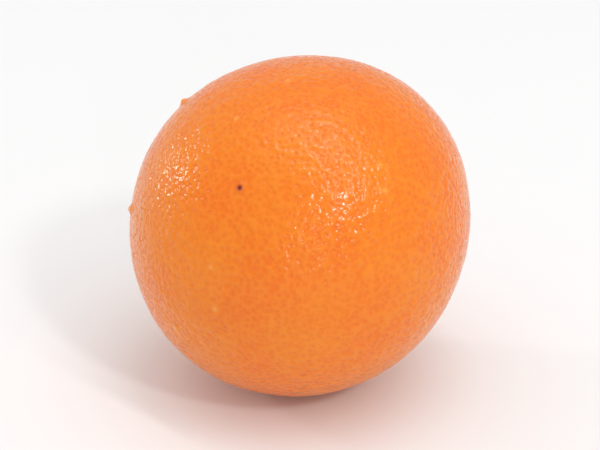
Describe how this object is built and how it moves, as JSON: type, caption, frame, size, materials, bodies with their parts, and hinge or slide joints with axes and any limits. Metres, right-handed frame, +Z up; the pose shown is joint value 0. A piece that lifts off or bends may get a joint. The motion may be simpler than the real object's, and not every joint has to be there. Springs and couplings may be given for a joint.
{
  "type": "orange",
  "caption": "Whole ripe orange with a pored waxy peel, a flower scar at one end and a calyx with a cut stem at the other, resting on a small flat spot.",
  "frame": {"origin": "middle of the small flat spot that the fruit rests on", "axes": "+Z up from the flat spot; the blossom end with the flower scar faces -Y, a little up and towards -X; the stem end with its calyx is low on the +Y side"},
  "size_m": [0.0776, 0.0764, 0.077],
  "materials": {
    "peel": "waxy orange peel with fine pores, soft gloss broken into small glints",
    "calyx": "dry, dull green-brown sepals round a pale woody cut stem"
  },
  "bodies": {
    "root": {"fruit": "peel", "calyx": "calyx"}
  },
  "joints": []
}
